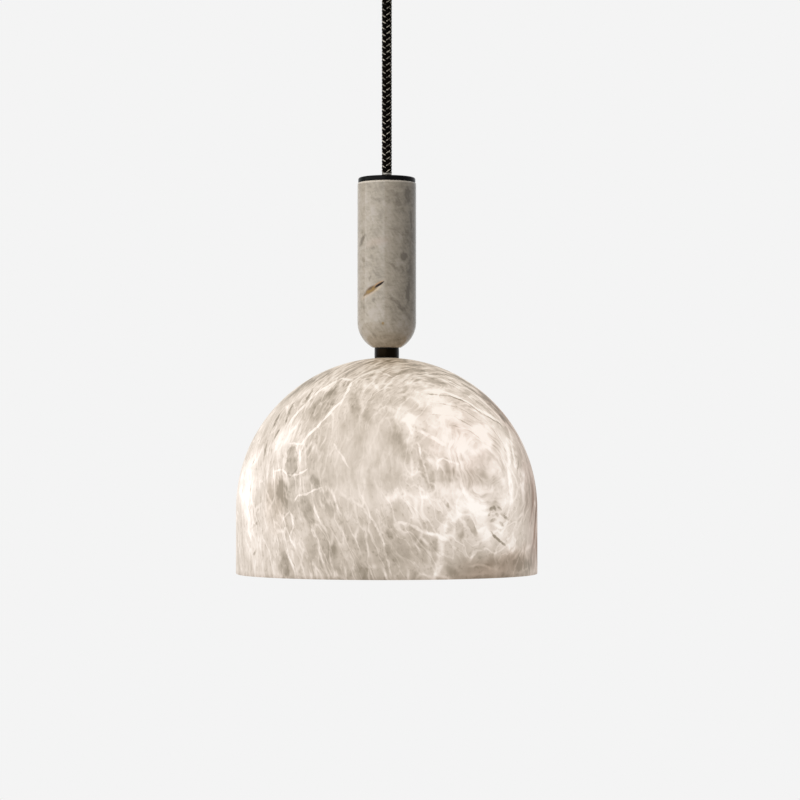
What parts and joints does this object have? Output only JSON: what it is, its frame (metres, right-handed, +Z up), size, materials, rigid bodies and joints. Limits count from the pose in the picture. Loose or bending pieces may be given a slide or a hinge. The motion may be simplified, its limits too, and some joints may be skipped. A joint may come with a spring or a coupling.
{
  "type": "pendant lamp",
  "caption": "Pendant lamp with a stone dome shade under a stone handle, hung on a textile cord from a round ceiling canopy, with a plug-in bulb.",
  "frame": {"origin": "centre of the bracket's ceiling screws, on the ceiling plane", "axes": "+Z up into the ceiling along the lamp's axis, X along the ceiling bracket"},
  "size_m": [0.2, 0.2, 0.4326],
  "materials": {
    "lit_stone": "polished alabaster, lit from within",
    "plain_stone": "polished alabaster, unlit",
    "black_enamel": "gloss black enamel",
    "black_bronze": "satin blackened bronze",
    "nickel": "satin nickel crimp",
    "zinc_steel": "zinc-plated steel",
    "tinned_brass": "tinned brass",
    "cup_steel": "satin black enamel",
    "black_silicone": "black silicone",
    "textile": "black textile braid with pale tracer threads",
    "sheath": "grey cable sheath",
    "brown_insulation": "brown core insulation",
    "blue_insulation": "blue core insulation",
    "earth_insulation": "green and yellow core insulation",
    "block_nylon": "natural nylon",
    "white_ceramic": "steatite ceramic",
    "bulb_plastic": "white moulded plastic",
    "bulb_opal": "opal bulb cover, lit",
    "bulb_board": "ceramic light rod",
    "pin_wire": "nickel wire"
  },
  "bodies": {
    "ceiling": {"canopy_cover": "black_enamel", "ceiling_bracket": "zinc_steel", "canopy_side_screws": "black_enamel", "gland_body": "black_bronze", "gland_washer": "zinc_steel", "gland_nut": "zinc_steel", "gland_grub_screw": "black_bronze", "terminal_block": "block_nylon", "terminal_barrels": "tinned_brass", "terminal_screws": "zinc_steel", "block_screw": "zinc_steel", "bracket_earth_tag": "tinned_brass", "earth_screw": "zinc_steel", "canopy_live_core": "brown_insulation", "canopy_neutral_core": "blue_insulation", "canopy_earth_core": "earth_insulation", "gland_cord": "textile"},
    "cord_twist": {"cord_root": "textile"},
    "pendant": {"cord_drop": "textile", "cord_ferrule": "nickel", "tube_cord": "sheath", "top_cap": "black_enamel", "cap_grub_screw": "zinc_steel", "stone_handle": "plain_stone", "upper_neck_washer": "black_silicone", "neck_spacer": "black_bronze", "lower_neck_washer": "black_silicone", "stone_shade": "lit_stone", "threaded_tube": "zinc_steel", "shade_gasket": "black_silicone", "clamp_plate": "zinc_steel", "clamp_nut": "zinc_steel", "holder_lock_nut": "zinc_steel", "holder_nut": "zinc_steel", "holder_earth_tag": "tinned_brass", "holder_cup": "cup_steel", "lampholder": "white_ceramic", "holder_side_screws": "zinc_steel", "lampholder_contacts": "tinned_brass", "holder_live_core": "brown_insulation", "holder_neutral_core": "blue_insulation", "holder_earth_core": "earth_insulation"},
    "bulb": {"bulb_base": "bulb_plastic", "bulb_pins": "pin_wire", "bulb_cover": "bulb_opal", "bulb_light_rod": "bulb_board"}
  },
  "joints": [
    {"name": "turn", "type": "hinge", "parent": "ceiling", "child": "cord_twist", "pos_m": [0, 0, -0.042], "axis": [0, 0, 1], "range_deg": [-90, 90]},
    {"name": "swing", "type": "hinge", "parent": "cord_twist", "child": "pendant", "pos_m": [0, 0, -0.0455], "axis": [0, 1, 0], "range_deg": [-30, 30]},
    {"name": "bulb_pull", "type": "slide", "parent": "pendant", "child": "bulb", "axis": [0, 0, -1], "range_m": [0, 0.015]}
  ]
}
